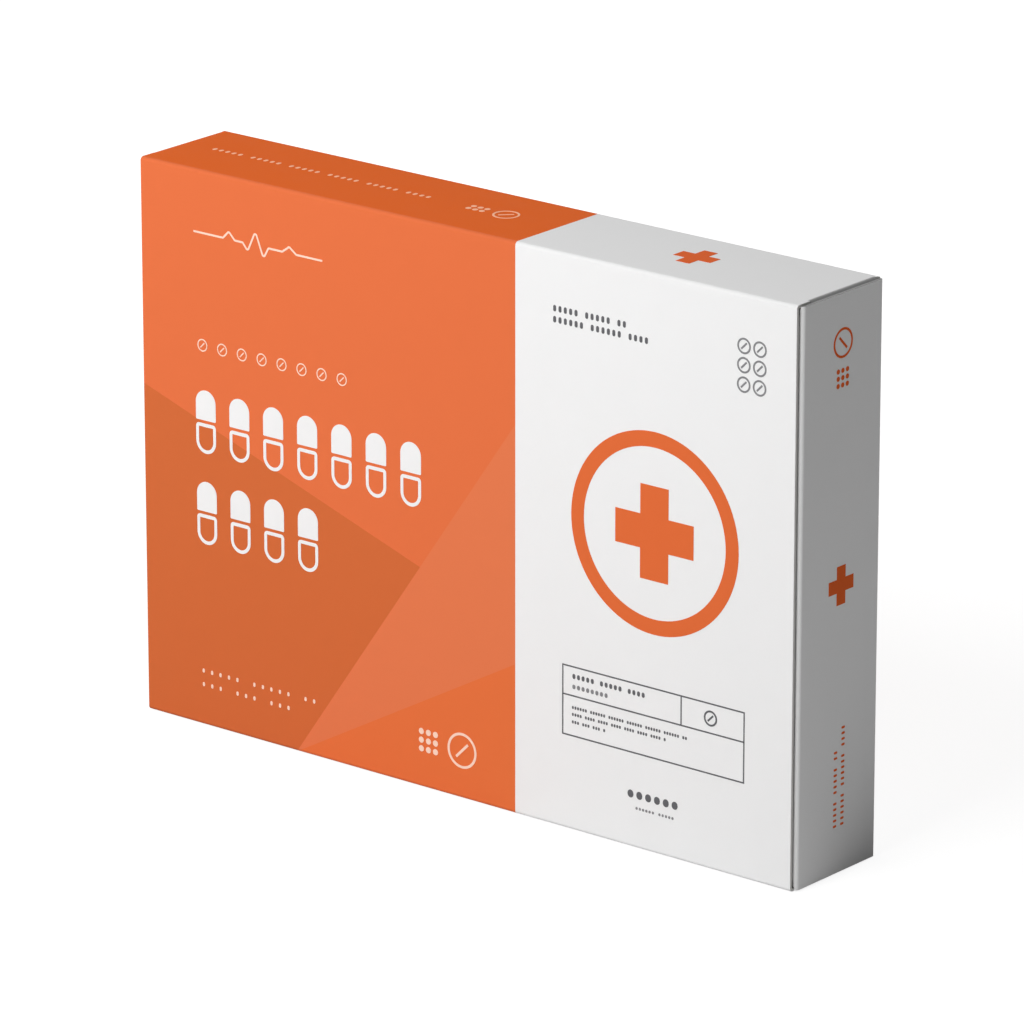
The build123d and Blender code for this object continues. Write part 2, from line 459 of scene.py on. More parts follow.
def panelMatrix(panel):
    along, up, out, origin = (Vector(axis) for axis in panelAxes[panel])
    turn = Matrix((along, up, out)).transposed().to_4x4()
    lift = (inkFilm["proud"] - inkFilm["sunk"]) / 2
    return Matrix.Translation(origin + out * lift) @ turn


def makeInk(name, colour, shadedSideColour=None):
    # ink of one colour, or with a darker, more saturated copy of it as painted shade on the panels other than
    # the front and back
    material, tree, shader, coords = newMaterial(name)
    if shadedSideColour:
        _, y, _ = separate(tree, coords)
        colour = mixColour(tree, broadPanels(tree, y)[1], shadedSideColour, colour)
    shader.inputs["Specular IOR Level"].default_value = cardPrint["specular"]
    finishSheet(tree, shader, coords, colour, cardPrint["grain"], cardPrint["bump"])
    return material


# the second colours are painted shade for the top, bottom and ends
inks = {
    "white": makeInk("whiteInk", cardPrint["white"]),
    "softWhite": makeInk("softWhiteInk", screenColour(248, 212, 192), screenColour(252, 194, 160)),
    "orange": makeInk("orangeInk", screenColour(221, 106, 56), screenColour(224, 98, 40)),
    "grey": makeInk("greyInk", screenColour(100, 100, 103)),
    "paleGrey": makeInk("paleGreyInk", screenColour(132, 132, 134)),
}


def geometryTree(name, inputs):
    sockets = [("Geometry", "NodeSocketGeometry", None)] + inputs + [("Ink", "NodeSocketMaterial", None)]
    return newGroup(name, "GeometryNodeTree", sockets, [("Geometry", "NodeSocketGeometry")])


def endTree(tree, start, end, geometry):
    real = addNode(tree, "GeometryNodeRealizeInstances", {"Geometry": geometry})
    inked = addNode(tree, "GeometryNodeSetMaterial", {
        "Geometry": real.outputs[0], "Material": start.outputs["Ink"],
    })
    plug(tree, end.inputs["Geometry"], inked.outputs[0])


def endAtPoints(tree, start, end, instance):
    placed = addNode(tree, "GeometryNodeInstanceOnPoints", {
        "Points": start.outputs["Geometry"], "Instance": instance,
    })
    endTree(tree, start, end, placed.outputs[0])


def bakeTree(tree, points, edges, values):
    # plain mesh that a tree makes from points, which are in millimetres
    base = bpy.data.meshes.new("points")
    base.from_pydata([(u * mm, v * mm, 0) for u, v in points], edges, [])
    holder = addObject("points", base)
    modifier = holder.modifiers.new("tree", "NODES")
    modifier.node_group = tree
    for item in tree.interface.items_tree:
        if item.in_out == "INPUT" and item.name in values:
            modifier[item.identifier] = values[item.name]
    bpy.context.view_layer.update()
    depsgraph = bpy.context.evaluated_depsgraph_get()
    baked = bpy.data.meshes.new_from_object(holder.evaluated_get(depsgraph))
    holder.modifiers.remove(modifier)
    bpy.data.objects.remove(holder)
    bpy.data.meshes.remove(base)
    return baked


def joinParts(tree, *parts):
    join = tree.nodes.new("GeometryNodeJoinGeometry")
    for part in reversed(parts):
        tree.links.new(part, join.inputs[0])
    return join.outputs[0]


def moved(tree, geometry, **inputs):
    return addNode(tree, "GeometryNodeTransform", {"Geometry": geometry, **inputs}).outputs[0]


# how finely the marks are cut
markShape = {
    "ringSides": 96,
    "barSteps": 3,  # points to a rounded corner
    "barRound": 0.49,  # corner radius as a share of the narrow side
    "capsuleSteps": 12,
    "capsuleRound": 0.499,
    "capsuleCorner": 0.2 * mm,  # of the filled half, at the slit
    "outlineCorner": 0.6,  # of the other half, as a share of its stroke
    "strokeSteps": 8,
    "mergeReach": 0.001 * mm,
}


def roundedCurve(tree, width, height, radius, steps):
    outline = addNode(tree, "GeometryNodeCurvePrimitiveQuadrilateral", {"Width": width, "Height": height})
    rounded = addNode(tree, "GeometryNodeFilletCurve", {
        "Curve": outline.outputs[0], "Count": steps, "Radius": radius,
    }, mode="POLY")
    return rounded.outputs[0]


def raisedFace(tree, curve, depth):
    # closed plate of the given depth over a closed curve, half of it below the curve
    face = addNode(tree, "GeometryNodeFillCurve", {"Curve": curve}, mode="NGONS").outputs[0]
    raised = addNode(tree, "GeometryNodeExtrudeMesh", {
        "Mesh": face, "Offset": combine(tree, Z=1.0), "Offset Scale": depth, "Individual": False,
    }).outputs[0]
    under = addNode(tree, "GeometryNodeFlipFaces", {"Mesh": face}).outputs[0]
    closed = addNode(tree, "GeometryNodeMergeByDistance", {
        "Geometry": joinParts(tree, raised, under), "Distance": markShape["mergeReach"],
    }).outputs[0]
    return moved(tree, closed, Translation=combine(tree, Z=calc(tree, "MULTIPLY", depth, -0.5)))


def drawStroke(tree, curve, given, capped):
    # flat stroke of ink along a curve
    level = addNode(tree, "GeometryNodeSetCurveNormal", {"Curve": curve}, mode="Z_UP")
    profile = addNode(tree, "GeometryNodeCurvePrimitiveQuadrilateral", {
        "Width": given["Stroke"], "Height": given["Depth"],
    })
    drawn = addNode(tree, "GeometryNodeCurveToMesh", {
        "Curve": level.outputs[0], "Profile Curve": profile.outputs[0], "Fill Caps": capped,
    })
    return drawn.outputs[0]


# tablet mark: a ring with a slanting score line
def makeTabletTree(shape):
    tree, start, end = geometryTree("tabletMark", [
        ("Radius", "NodeSocketFloat", 1.0 * mm),
        ("Stroke", "NodeSocketFloat", 0.2 * mm),
        ("Depth", "NodeSocketFloat", inkDepth),
        ("Score", "NodeSocketFloat", 0.57),
        ("Tilt", "NodeSocketFloat", math.radians(45)),
        ("Scored", "NodeSocketBool", True),
    ])
    given = start.outputs
    middle = calc(tree, "SUBTRACT", given["Radius"], calc(tree, "MULTIPLY", given["Stroke"], 0.5))
    circle = addNode(tree, "GeometryNodeCurvePrimitiveCircle", {
        "Resolution": shape["ringSides"], "Radius": middle,
    })
    ring = drawStroke(tree, circle.outputs[0], given, False)
    length = calc(tree, "MULTIPLY", calc(tree, "MULTIPLY", given["Radius"], 2.0), given["Score"])
    size = combine(tree, X=length, Y=given["Stroke"], Z=given["Depth"])
    bar = addNode(tree, "GeometryNodeMeshCube", {"Size": size}).outputs[0]
    tilted = moved(tree, bar, Rotation=combine(tree, Z=given["Tilt"]))
    score = addNode(tree, "GeometryNodeSwitch", {
        "Switch": given["Scored"], "True": tilted,
    }, input_type="GEOMETRY")
    endAtPoints(tree, start, end, joinParts(tree, ring, score.outputs[0]))
    return tree


# row of tiny capsules, with gaps
def makeBarLineTree(shape):
    tree, start, end = geometryTree("barLine", [
        ("Bars", "NodeSocketInt", 20),
        ("Pitch", "NodeSocketFloat", 1.0 * mm),
        ("Height", "NodeSocketFloat", 0.8 * mm),
        ("Depth", "NodeSocketFloat", inkDepth),
        ("Fill", "NodeSocketFloat", 0.66),
        ("Group", "NodeSocketInt", 6),
    ])
    given = start.outputs
    line = addNode(tree, "GeometryNodeMeshLine", {
        "Count": given["Bars"], "Offset": combine(tree, X=given["Pitch"]),
    })
    index = addNode(tree, "GeometryNodeInputIndex").outputs[0]
    turn = calc(tree, "MODULO", calc(tree, "ADD", index, 1.0), given["Group"])
    kept = stepAbove(tree, turn, 0.5)  # every last mark of a group is left out
    width = calc(tree, "MULTIPLY", given["Pitch"], given["Fill"])
    narrow = calc(tree, "MINIMUM", width, given["Height"])
    radius = calc(tree, "MULTIPLY", narrow, shape["barRound"])
    outline = roundedCurve(tree, width, given["Height"], radius, shape["barSteps"])
    row = addNode(tree, "GeometryNodeInstanceOnPoints", {
        "Points": line.outputs[0], "Selection": kept, "Instance": raisedFace(tree, outline, given["Depth"]),
    })
    endAtPoints(tree, start, end, row.outputs[0])
    return tree


# row of upright capsules: a filled upper half and a lower half in outline
def makeCapsuleTree(shape):
    tree, start, end = geometryTree("capsuleRow", [
        ("Width", "NodeSocketFloat", 4.4 * mm),
        ("Height", "NodeSocketFloat", 10.0 * mm),
        ("Slit", "NodeSocketFloat", 0.5 * mm),
        ("Stroke", "NodeSocketFloat", 0.75 * mm),
        ("Depth", "NodeSocketFloat", inkDepth),
    ])
    given = start.outputs
    half = calc(tree, "MULTIPLY", calc(tree, "SUBTRACT", given["Height"], given["Slit"]), 0.5)
    _, y, _ = separate(tree, addNode(tree, "GeometryNodeInputPosition").outputs[0])
    upper = stepAbove(tree, y, 0.0)
    lower = flip(tree, upper)

    def halfOutline(width, height, corner):
        # half a capsule, round above and square below but for a small corner
        crown = allOf(tree, width, shape["capsuleRound"], upper)
        foot = calc(tree, "MULTIPLY", corner, lower)
        return roundedCurve(tree, width, height, calc(tree, "ADD", crown, foot), shape["capsuleSteps"])

    filled = raisedFace(tree, halfOutline(given["Width"], half, shape["capsuleCorner"]), given["Depth"])
    inset = halfOutline(
        calc(tree, "SUBTRACT", given["Width"], given["Stroke"]),
        calc(tree, "SUBTRACT", half, given["Stroke"]),
        calc(tree, "MULTIPLY", given["Stroke"], shape["outlineCorner"]),
    )
    drawn = drawStroke(tree, inset, given, False)
    lift = calc(tree, "ADD", calc(tree, "MULTIPLY", half, 0.5), calc(tree, "MULTIPLY", given["Slit"], 0.5))
    drop = calc(tree, "MULTIPLY", lift, -1.0)
    upperHalf = moved(tree, filled, Translation=combine(tree, Y=lift))
    lowerHalf = moved(tree, drawn, Translation=combine(tree, Y=drop), Rotation=combine(tree, Z=math.pi))
    endAtPoints(tree, start, end, joinParts(tree, upperHalf, lowerHalf))
    return tree


# stroke of ink along a path, its corners eased
def makeStrokeTree(shape):
    tree, start, end = geometryTree("inkStroke", [
        ("Stroke", "NodeSocketFloat", 0.4 * mm),
        ("Ease", "NodeSocketFloat", 0.3 * mm),
        ("Depth", "NodeSocketFloat", inkDepth),
    ])
    given = start.outputs
    path = addNode(tree, "GeometryNodeMeshToCurve", {"Mesh": given["Geometry"]})
    eased = addNode(tree, "GeometryNodeFilletCurve", {
        "Curve": path.outputs[0], "Count": shape["strokeSteps"], "Radius": given["Ease"],
        "Limit Radius": True,
    }, mode="POLY")
    endTree(tree, start, end, drawStroke(tree, eased.outputs[0], given, True))
    return tree


tabletTree = makeTabletTree(markShape)
barLineTree = makeBarLineTree(markShape)
capsuleTree = makeCapsuleTree(markShape)
strokeTree = makeStrokeTree(markShape)
print("print trees built")

printed = {}  # meshes by piece name


def inkOf(piece):
    return inks[printPieces[piece][0]]


def lay(piece, panel, mesh):
    laid = printed.setdefault(piece, [])
    if panel == "front":
        again = mesh.copy()
        again.transform(panelMatrix("back") @ Matrix.Translation((printPieces[piece][2], 0, 0)))
        laid.append(again)
    mesh.transform(panelMatrix(panel))
    laid.append(mesh)


def layTablets(piece, panel, centres, radius, stroke, scored=True, tilt=45):
    lay(piece, panel, bakeTree(tabletTree, centres, [], {
        "Radius": radius * mm, "Stroke": stroke * mm, "Scored": scored, "Tilt": math.radians(tilt),
        "Ink": inkOf(piece),
    }))


def layBarLine(piece, panel, start, places, pitch, height, group, fill, upright=False):
    # one row of marks from start, along the panel or up it
    mesh = bakeTree(barLineTree, [(0, 0)], [], {
        "Bars": places, "Pitch": pitch * mm, "Height": height * mm, "Group": group, "Fill": fill,
        "Ink": inkOf(piece),
    })
    turn = Matrix.Rotation(math.pi / 2 if upright else 0, 4, "Z")
    shift = Matrix.Translation((start[0] * mm, start[1] * mm, 0))
    mesh.transform(shift @ turn @ Matrix.Translation((pitch * mm / 2, 0, 0)))
    lay(piece, panel, mesh)


def layBlisterMark(piece, panel, centre, pitch, radius, columns, rows):
    # rows of round dots, with no gap in a row
    u, v = centre
    start = u - columns * pitch / 2
    size = 2 * radius
    for i in range(rows):
        level = v + (i - (rows - 1) / 2) * pitch
        layBarLine(piece, panel, (start, level), columns, pitch, size, columns + 1, size / pitch)


def layShape(piece, panel, corners):
    # flat shape from its corners, raised to the ink's depth
    shape = bmesh.new()
    for level in (-0.5, 0.5):
        shape.faces.new([shape.verts.new((u * mm, v * mm, level * inkDepth)) for u, v in corners])
    shape.verts.ensure_lookup_table()
    count = len(corners)
    for i in range(count):
        j = (i + 1) % count
        shape.faces.new([shape.verts[k] for k in (i, j, j + count, i + count)])
    bmesh.ops.recalc_face_normals(shape, faces=shape.faces)
    mesh = bpy.data.meshes.new("shape")
    shape.to_mesh(mesh)
    shape.free()
    lay(piece, panel, mesh)


def crossCorners(centre, reach, arm):
    u, v = centre
    quarter = [(arm, arm), (arm, reach), (-arm, reach)]
    corners = []
    for turn in range(4):
        for a, b in quarter:
            for _ in range(turn):
                a, b = -b, a
            corners.append((u + a, v + b))
    return corners


def barCorners(left, right, bottom, top):
    return [(left, bottom), (right, bottom), (right, top), (left, top)]


# marks on the orange field, in millimetres along and up the panel
whiteMarks = {
    "capsuleRows": [(-52.6, 49.8, 7), (-52.6, 35.0, 4)],  # left, middle height, count
    "capsuleSize": (4.05, 10.2),
    "capsuleStroke": 0.56,
    "capsulePitch": 6.88,
    "dots": (-51.1, 62.1, 8, 4.03),  # left, height, count, pitch
    "dotSize": (1.01, 0.19),  # radius and stroke, as for the tablets
    "pulseStart": (-52.6, 80.1),
    "pulseStroke": 0.31,
    "pulseEase": 0.3,
    "pulse": [
        (0, 0), (6, 0), (7.2, 1.2), (8.4, 0), (10, 0), (11, -1.2), (12.6, 2.2), (14.2, -1.8), (15.2, 0),
        (18, 0), (19.4, 1.0), (20.8, 0), (26, 0),
    ],
    "smallLines": [(-52.6, 9.0, 14, 6), (-52.6, 6.75, 11, 4)],  # left, height, places, group
    "smallType": (1.75, 0.7),  # pitch and height of a mark
    "smallFill": 0.26,  # share of the pitch that a mark takes
    "tablet": (0.66, 7.75),
    "tabletSize": (2.85, 0.41),
    "blister": (-6.0, 7.7),
    "blisterSize": (1.4, 0.5, 3, 3),  # pitch, radius, columns, rows
    "topLine": (-58.0, 0.5),
    "topType": (34, 1.3, 0.95, 6, 0.46),  # places, pitch, mark height, group, share filled
    "topTablet": (0.8, 0.4),
    "topTabletSize": (2.1, 0.34),
    "topBlister": (-4.6, 0.3),
    "topBlisterSize": (1.3, 0.47, 3, 2),
}


def layCapsules(look):
    width, height = look["capsuleSize"]
    for left, level, count in look["capsuleRows"]:
        centres = [(left + width / 2 + i * look["capsulePitch"], level) for i in range(count)]
        lay("whitePrint", "front", bakeTree(capsuleTree, centres, [], {
            "Width": width * mm, "Height": height * mm, "Stroke": look["capsuleStroke"] * mm,
            "Ink": inkOf("whitePrint"),
        }))


def layPulse(look):
    left, level = look["pulseStart"]
    points = [(left + u, level + v) for u, v in look["pulse"]]
    edges = [(i, i + 1) for i in range(len(points) - 1)]
    lay("softPrint", "front", bakeTree(strokeTree, points, edges, {
        "Stroke": look["pulseStroke"] * mm, "Ease": look["pulseEase"] * mm, "Ink": inkOf("softPrint"),
    }))


def layOrangeField(look):
    layCapsules(look)
    layPulse(look)
    left, level, count, pitch = look["dots"]
    layTablets("softPrint", "front", [(left + i * pitch, level) for i in range(count)], *look["dotSize"])
    for left, level, places, group in look["smallLines"]:
        layBarLine("softPrint", "front", (left, level), places, *look["smallType"], group, look["smallFill"])
    layBarLine("softPrint", "top", look["topLine"], *look["topType"])
    for panel, tablet, blister in (("front", "tablet", "blister"), ("top", "topTablet", "topBlister")):
        layTablets("softPrint", panel, [look[tablet]], *look[tablet + "Size"])
        layBlisterMark("softPrint", panel, look[blister], *look[blister + "Size"])


layOrangeField(whiteMarks)

# orange marks on the white field
orangeMarks = {
    "ring": (37.55, 50.15),
    "ringSize": (15.7, 2.4),  # radius and stroke
    "crossSize": (7.35, 2.65),  # reach and half arm
    "topCross": (36.8, 0.6),
    "topCrossSize": (3.45, 1.25),
}


def layOrangeMarks(look):
    layTablets("orangePrint", "front", [look["ring"]], *look["ringSize"], scored=False)
    layShape("orangePrint", "front", crossCorners(look["ring"], *look["crossSize"]))
    layShape("orangePrint", "top", crossCorners(look["topCross"], *look["topCrossSize"]))


layOrangeMarks(orangeMarks)

# marks on the two ends, across and up
endMarks = {
    "panels": {"endPrint": "rightEnd", "leftEndPrint": "leftEnd"},
    "cross": (0.6, 45.1),
    "crossSize": (3.0, 1.05),
    "tablet": (0.3, 82.2),
    "tabletSize": (2.3, 0.38),
    "tabletTilt": 135,  # degrees
    "blister": (0.3, 76.9),
    "blisterSize": (1.1, 0.39, 3, 3),
    "rows": [(-0.17, 7.2, 14, 6), (1.62, 7.2, 18, 7)],  # across, foot, places, group
    "type": (0.89, 0.82),
    "fill": 0.42,
}


def layEndMarks(look):
    for piece, panel in look["panels"].items():
        layShape(piece, panel, crossCorners(look["cross"], *look["crossSize"]))
        layTablets(piece, panel, [look["tablet"]], *look["tabletSize"], tilt=look["tabletTilt"])
        layBlisterMark(piece, panel, look["blister"], *look["blisterSize"])
        for across, foot, places, group in look["rows"]:
            layBarLine(piece, panel, (across, foot), places, *look["type"], group, look["fill"], upright=True)


layEndMarks(endMarks)

# grey marks on the white field
greyMarks = {
    "rows": [  # piece, left, height, places, pitch, mark height, group, share filled
        ("greyPrint", 18.1, 81.2, 14, 1.01, 1.0, 6, 0.54),
        ("greyPrint", 18.1, 79.5, 18, 1.015, 1.0, 7, 0.54),
        ("greyPrint", 22.0, 24.55, 16, 0.88, 0.8, 6, 0.62),
        ("palePrint", 22.0, 22.9, 8, 0.88, 0.72, 9, 0.66),
        ("greyPrint", 22.0, 19.6, 44, 0.5, 0.5, 7, 0.7),
        ("greyPrint", 22.0, 18.5, 36, 0.5, 0.5, 5, 0.7),
        ("greyPrint", 22.0, 17.3, 13, 0.5, 0.5, 4, 0.7),
        ("greyPrint", 32.5, 8.5, 6, 1.675, 1.25, 9, 0.66),
        ("palePrint", 34.2, 6.4, 12, 0.62, 0.45, 7, 0.66),
    ],
    "tablets": [(53.85, 82.15), (56.75, 82.15), (53.85, 79.25), (56.75, 79.25), (53.85, 76.3), (56.75, 76.3)],
    "tabletSize": (1.23, 0.29),
    "box": (20.3, 54.55, 15.1, 26.05),  # left, right, bottom, top
    "shelf": 21.45,
    "divider": 42.8,
    "rule": 0.23,
    "boxTablet": (48.3, 23.75),
}


def layGreyMarks(look):
    for piece, left, level, *row in look["rows"]:
        layBarLine(piece, "front", (left, level), *row)
    layTablets("palePrint", "front", look["tablets"], *look["tabletSize"])
    layTablets("greyPrint", "front", [look["boxTablet"]], *look["tabletSize"])
    left, right, bottom, top = look["box"]
    half = look["rule"] / 2
    for level in (bottom, look["shelf"], top):
        layShape("greyPrint", "front", barCorners(left - half, right + half, level - half, level + half))
    for place, foot in ((left, bottom), (right, bottom), (look["divider"], look["shelf"])):
        layShape("greyPrint", "front", barCorners(place - half, place + half, foot + half, top - half))


layGreyMarks(greyMarks)


def joinPrint(name, body):
    joined = bmesh.new()
    for mesh in printed[name]:
        joined.from_mesh(mesh)
        bpy.data.meshes.remove(mesh)
    bmesh.ops.recalc_face_normals(joined, faces=joined.faces)
    mesh = bpy.data.meshes.new(name)
    joined.to_mesh(mesh)
    joined.free()
    mesh.materials.append(inkOf(name))
    for face in mesh.polygons:
        face.material_index = 0
        face.use_smooth = False
    piece = addObject(name, mesh)
    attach(piece, body)
    print(name, len(mesh.polygons), "faces")


for pieceName, (_, body, _) in printPieces.items():
    joinPrint(pieceName, body)


# blister sheets: a flat film with formed pockets, and foil behind
blisterLook = {
    "columns": 5,
    "rows": 4,
    "sideMargin": 13.5 * mm,  # sheet's end to the middle of the first pockets
    "edgeMargin": 12.0 * mm,
    "pocketRadius": 7.0 * mm,
    "draft": 0.35 * mm,
    "shoulder": 1.4 * mm,
    "flare": 0.5 * mm,
    "crown": 0.3 * mm,
    "web": 0.4 * mm,
    "foil": 0.06 * mm,
    "corner": 4.0 * mm,
    "cornerSteps": 10,
    "pocketSides": 56,
    "pocketSteps": 18,
    "crownSteps": 4,
    "crownStart": 0.99,  # share of a pocket's height above which there is only its top
    "filmColour": screenColour(238, 239, 240),
    "filmGrain": {"Fine Scale": 900.0, "Tone Spread": 0.03, "Roughness": 0.24, "Roughness Spread": 0.16},
    "foilColour": screenColour(214, 215, 218),
    "foilGrain": {"Fine Scale": 1200.0, "Tone Spread": 0.12, "Roughness": 0.3, "Roughness Spread": 0.2},
    "bump": 0.01 * mm,
    "knurlPitch": 1.3 * mm,
    "knurlDepth": 0.06 * mm,
    "knurlStrength": 0.6,
}


def makeFilm(look):
    material, tree, shader, coords = newMaterial("blisterFilm")
    finishSheet(tree, shader, coords, look["filmColour"], look["filmGrain"], look["bump"])
    return material


def makeFoil(look):
    # pressed foil with a fine slanting knurl
    material, tree, shader, coords = newMaterial("blisterFoil")
    shader.inputs["Metallic"].default_value = 1.0
    finishSheet(tree, shader, coords, look["foilColour"], look["foilGrain"], look["bump"])
    x, _, z = separate(tree, coords)
    turns = 2 * math.pi / look["knurlPitch"]
    rising = calc(tree, "SINE", calc(tree, "MULTIPLY", calc(tree, "ADD", x, z), turns))
    falling = calc(tree, "SINE", calc(tree, "MULTIPLY", calc(tree, "SUBTRACT", x, z), turns))
    grainBump = shader.inputs["Normal"].links[0].from_socket
    knurl = addNode(tree, "ShaderNodeBump", {
        "Strength": look["knurlStrength"], "Distance": look["knurlDepth"],
        "Height": calc(tree, "MULTIPLY", rising, falling), "Normal": grainBump,
    })
    plug(tree, shader.inputs["Normal"], knurl.outputs[0])
    return material


plateSockets = [
    ("Length", "NodeSocketFloat", 0.1),
    ("Height", "NodeSocketFloat", 0.1),
    ("Corner", "NodeSocketFloat", 4 * mm),
    ("Bottom", "NodeSocketFloat", 0.0),
    ("Thickness", "NodeSocketFloat", 0.4 * mm),
]


def roundedPlate(tree, given, steps):
    # the plate, and the level of its middle
    middle = calc(tree, "ADD", given["Bottom"], calc(tree, "MULTIPLY", given["Thickness"], 0.5))
    outline = roundedCurve(tree, given["Length"], given["Height"], given["Corner"], steps)
    plate = raisedFace(tree, outline, given["Thickness"])
    return moved(tree, plate, Translation=combine(tree, Z=middle)), middle


def makeFoilTree(look):
    tree, start, end = geometryTree("foilPlate", plateSockets)
    plate, _ = roundedPlate(tree, start.outputs, look["cornerSteps"])
    endTree(tree, start, end, plate)
    return tree


def makeFilmTree(look):
    tree, start, end = geometryTree("formedFilm", plateSockets + [
        ("Columns", "NodeSocketInt", 5),
        ("Rows", "NodeSocketInt", 4),
        ("Across", "NodeSocketFloat", 0.1),
        ("Up", "NodeSocketFloat", 0.1),
        ("Radius", "NodeSocketFloat", 7 * mm),
        ("Reach", "NodeSocketFloat", 4 * mm),
        ("Draft", "NodeSocketFloat", 0.3 * mm),
        ("Shoulder", "NodeSocketFloat", 1.4 * mm),
        ("Flare", "NodeSocketFloat", 0.5 * mm),
        ("Crown", "NodeSocketFloat", 0.3 * mm),
    ])
    given = start.outputs
    web, middle = roundedPlate(tree, given, look["cornerSteps"])

    # one pocket, shaped from a unit cylinder
    blank = addNode(tree, "GeometryNodeMeshCylinder", {
        "Vertices": look["pocketSides"], "Side Segments": look["pocketSteps"],
        "Fill Segments": look["crownSteps"], "Radius": 1.0, "Depth": 1.0,
    }, fill_type="TRIANGLE_FAN")
    x, y, z = separate(tree, addNode(tree, "GeometryNodeInputPosition").outputs[0])
    share = calc(tree, "ADD", z, 0.5)
    rise = calc(tree, "MULTIPLY", share, given["Reach"])
    fromTop = calc(tree, "SUBTRACT", given["Reach"], rise)

    def quarterRound(away, radius):
        # how far a quarter round has turned in, from its radius at no distance to 0 at its start
        near = flip(tree, calc(tree, "DIVIDE", away, radius))
        held = calc(tree, "MINIMUM", calc(tree, "MAXIMUM", near, 0.0), 1.0)
        arc = calc(tree, "SQRT", flip(tree, calc(tree, "MULTIPLY", held, held)))
        return calc(tree, "MULTIPLY", flip(tree, arc), radius)

    shoulder = quarterRound(fromTop, given["Shoulder"])
    flare = quarterRound(rise, given["Flare"])
    radius = calc(tree, "SUBTRACT", given["Radius"], calc(tree, "MULTIPLY", given["Draft"], share))
    radius = calc(tree, "ADD", calc(tree, "SUBTRACT", radius, shoulder), flare)
    square = calc(tree, "ADD", allOf(tree, x, x), allOf(tree, y, y))
    onTop = stepAbove(tree, share, look["crownStart"])
    crown = allOf(tree, flip(tree, square), given["Crown"], onTop)
    formed = combine(
        tree,
        X=calc(tree, "MULTIPLY", x, radius),
        Y=calc(tree, "MULTIPLY", y, radius),
        Z=calc(tree, "ADD", calc(tree, "ADD", rise, crown), middle),
    )
    pocket = addNode(tree, "GeometryNodeSetPosition", {"Geometry": blank.outputs["Mesh"], "Position": formed})
    smooth = addNode(tree, "GeometryNodeSetShadeSmooth", {
        "Geometry": pocket.outputs[0], "Shade Smooth": True,
    })
    grid = addNode(tree, "GeometryNodeMeshGrid", {
        "Size X": given["Across"], "Size Y": given["Up"],
        "Vertices X": given["Columns"], "Vertices Y": given["Rows"],
    })
    pockets = addNode(tree, "GeometryNodeInstanceOnPoints", {
        "Points": grid.outputs["Mesh"], "Instance": smooth.outputs[0],
    })
    endTree(tree, start, end, joinParts(tree, web, pockets.outputs[0]))
    return tree


def makeBlisterSheets(look):
    film = makeFilm(look)
    foil = makeFoil(look)
    filmTree = makeFilmTree(look)
    foilTree = makeFoilTree(look)
    turn = Matrix(((1, 0, 0, 0), (0, 0, -1, 0), (0, 1, 0, 0), (0, 0, 0, 1)))  # up becomes Z, out becomes -Y
    web = look["web"] - look["foil"]
    webMiddle = look["foil"] + web / 2
    for name, node in (("frontBlister", "front_blister_sheet"), ("rearBlister", "rear_blister_sheet")):
        low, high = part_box(node)
        length = high[0] - low[0]
        height = high[2] - low[2]
        place = Matrix.Translation(((low[0] + high[0]) / 2, high[1], (low[2] + high[2]) / 2)) @ turn
        plate = {"Length": length, "Height": height, "Corner": look["corner"]}
        filmMesh = bakeTree(filmTree, [(0, 0)], [], {
            **plate, "Bottom": look["foil"], "Thickness": web, "Ink": film,
            "Columns": look["columns"], "Rows": look["rows"],
            "Across": length - 2 * look["sideMargin"], "Up": height - 2 * look["edgeMargin"],
            "Radius": look["pocketRadius"], "Reach": high[1] - low[1] - webMiddle - look["crown"],
            "Draft": look["draft"], "Shoulder": look["shoulder"],
            "Flare": look["flare"], "Crown": look["crown"],
        })
        foilMesh = bakeTree(foilTree, [(0, 0)], [], {
            **plate, "Bottom": 0.0, "Thickness": look["foil"], "Ink": foil,
        })
        for part, mesh in (("Film", filmMesh), ("Foil", foilMesh)):
            mesh.transform(place)
            sheet = addObject(name + part, mesh)
            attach(sheet, "box")
            if part == "Film":
                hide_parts(node)
            print(sheet.name, len(mesh.polygons), "faces")


makeBlisterSheets(blisterLook)


# floor, lamps and world
stageLook = {
    "floorSize": 6.0,
    "floorDrop": 0.1 * mm,
    "contactPlace": (66 * mm, 20 * mm, 0.0),  # painted shade: behind the right end the floor gives back no light, darkening the end's lower rear
    "contactReach": (10 * mm, 30 * mm),
    "bounce": (0.0, 0.75),  # light given back there, and elsewhere
    "shadowShare": 0.25,
    "glowReach": (0.1, 0.34),
    "glow": (0.86, 1.0),  # of the floor near the box, and far away
    "ambient": 0.205,
    "backdrop": 1.0,
    "lamps": {  # azimuth, elevation, distance, size, watts
        "keyLamp": (-42.0, 36.0, 0.5, 0.25, 1.05),
        "frontLamp": (3.0, 42.0, 0.55, 0.25, 1.5),
        "rearLamp": (180.0, 5.0, 0.6, 0.12, 1.6),
    },
}


def bySight(tree, lighting, shown):
    # one shader for rays that light the box, another for rays that show the stage
    path = tree.nodes.new("ShaderNodeLightPath").outputs
    seen = calc(tree, "MAXIMUM", path["Is Camera Ray"], path["Is Glossy Ray"])
    seen = calc(tree, "MAXIMUM", seen, path["Is Transmission Ray"])
    return addNode(tree, "ShaderNodeMixShader", {0: seen, 1: lighting, 2: shown}).outputs[0]


def smoothRange(tree, value, reach, levels):
    return addNode(tree, "ShaderNodeMapRange", {
        "Value": value, "From Min": reach[0], "From Max": reach[1], "To Min": levels[0], "To Max": levels[1],
    }, interpolation_type="SMOOTHSTEP").outputs[0]


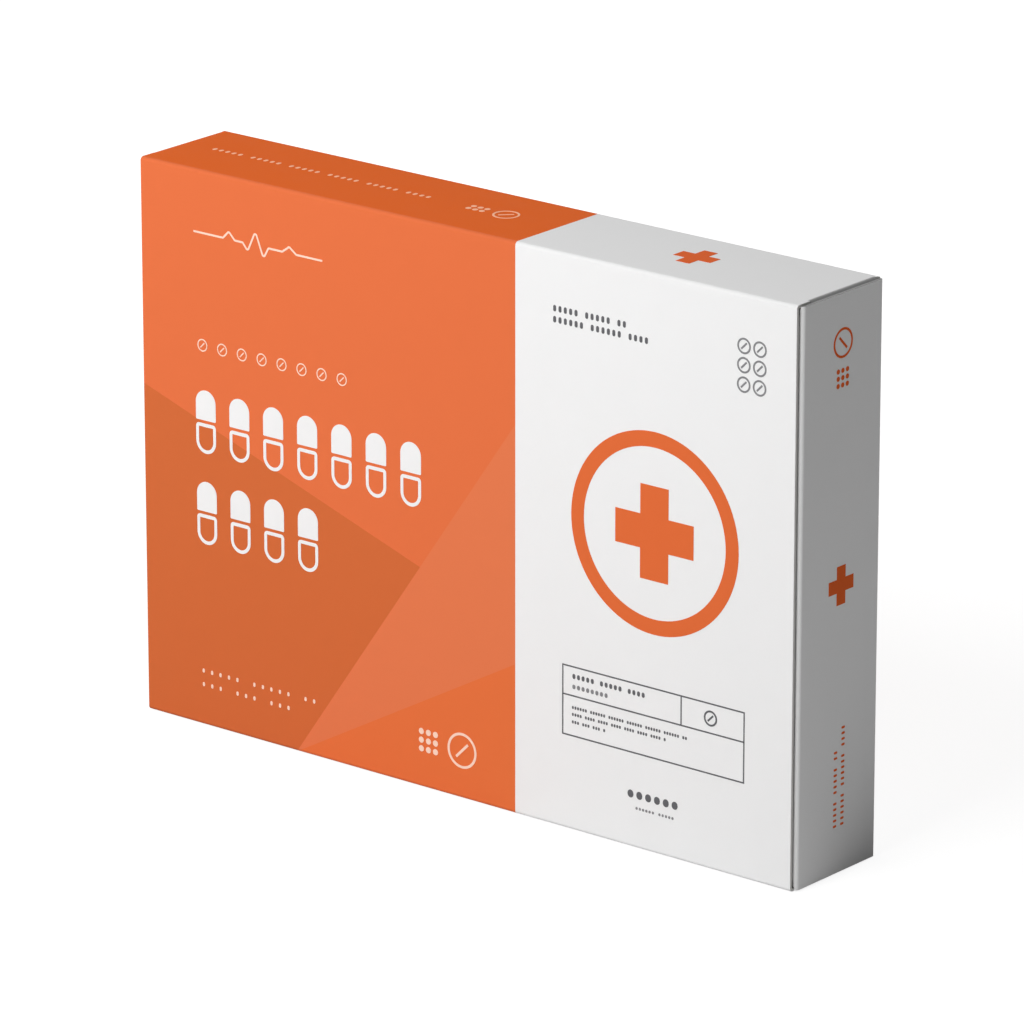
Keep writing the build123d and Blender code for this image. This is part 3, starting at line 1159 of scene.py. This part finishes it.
def makeFloor(look):
    reach = look["floorSize"] / 2
    mesh = bpy.data.meshes.new("floor")
    corners = [(u * reach, v * reach, -look["floorDrop"]) for u, v in barCorners(-1, 1, -1, 1)]
    mesh.from_pydata(corners, [], [(0, 1, 2, 3)])
    material, tree, shader, coords = newMaterial("paleFloor")
    tree.nodes.remove(shader)
    fromContact = addNode(tree, "ShaderNodeVectorMath", {
        0: coords, 1: look["contactPlace"],
    }, operation="DISTANCE").outputs["Value"]
    fromBox = addNode(tree, "ShaderNodeVectorMath", {0: coords}, operation="LENGTH").outputs["Value"]
    # painted shade: bounced light fades to none near contactPlace
    bounce = smoothRange(tree, fromContact, look["contactReach"], look["bounce"])
    glow = smoothRange(tree, fromBox, look["glowReach"], look["glow"])
    share = look["shadowShare"]
    plain = addNode(tree, "ShaderNodeBsdfDiffuse", {"Color": bounce})
    shadow = addNode(tree, "ShaderNodeBsdfDiffuse", {"Color": (share, share, share, 1)})
    light = addNode(tree, "ShaderNodeEmission", {"Strength": glow})
    shown = addNode(tree, "ShaderNodeAddShader", {0: shadow.outputs[0], 1: light.outputs[0]})
    surface = bySight(tree, plain.outputs[0], shown.outputs[0])
    plug(tree, tree.nodes["Material Output"].inputs["Surface"], surface)
    mesh.materials.append(material)
    addObject("floor", mesh)


def makeLamp(name, azimuth, elevation, distance, size, watts):
    out = outward(azimuth, elevation)
    data = bpy.data.lights.new(name, "AREA")
    data.shape = "DISK"
    data.size = size
    data.energy = watts
    lamp = addObject(name, data)
    lamp.location = boxMiddle + out * distance
    lamp.rotation_euler = out.to_track_quat("Z", "Y").to_euler()


def makeWorld(look):
    world = bpy.data.worlds.new("studio")
    scene.world = world
    world.use_nodes = True
    tree = world.node_tree
    tree.nodes.clear()
    white = (1, 1, 1, 1)
    ambient = addNode(tree, "ShaderNodeBackground", {"Color": white, "Strength": look["ambient"]})
    backdrop = addNode(tree, "ShaderNodeBackground", {"Color": white, "Strength": look["backdrop"]})
    output = tree.nodes.new("ShaderNodeOutputWorld")
    plug(tree, output.inputs["Surface"], bySight(tree, ambient.outputs[0], backdrop.outputs[0]))


makeFloor(stageLook)
for lampName, lampSet in stageLook["lamps"].items():
    makeLamp(lampName, *lampSet)
makeWorld(stageLook)
scene.view_settings.view_transform = "Standard"
print("stage lit")
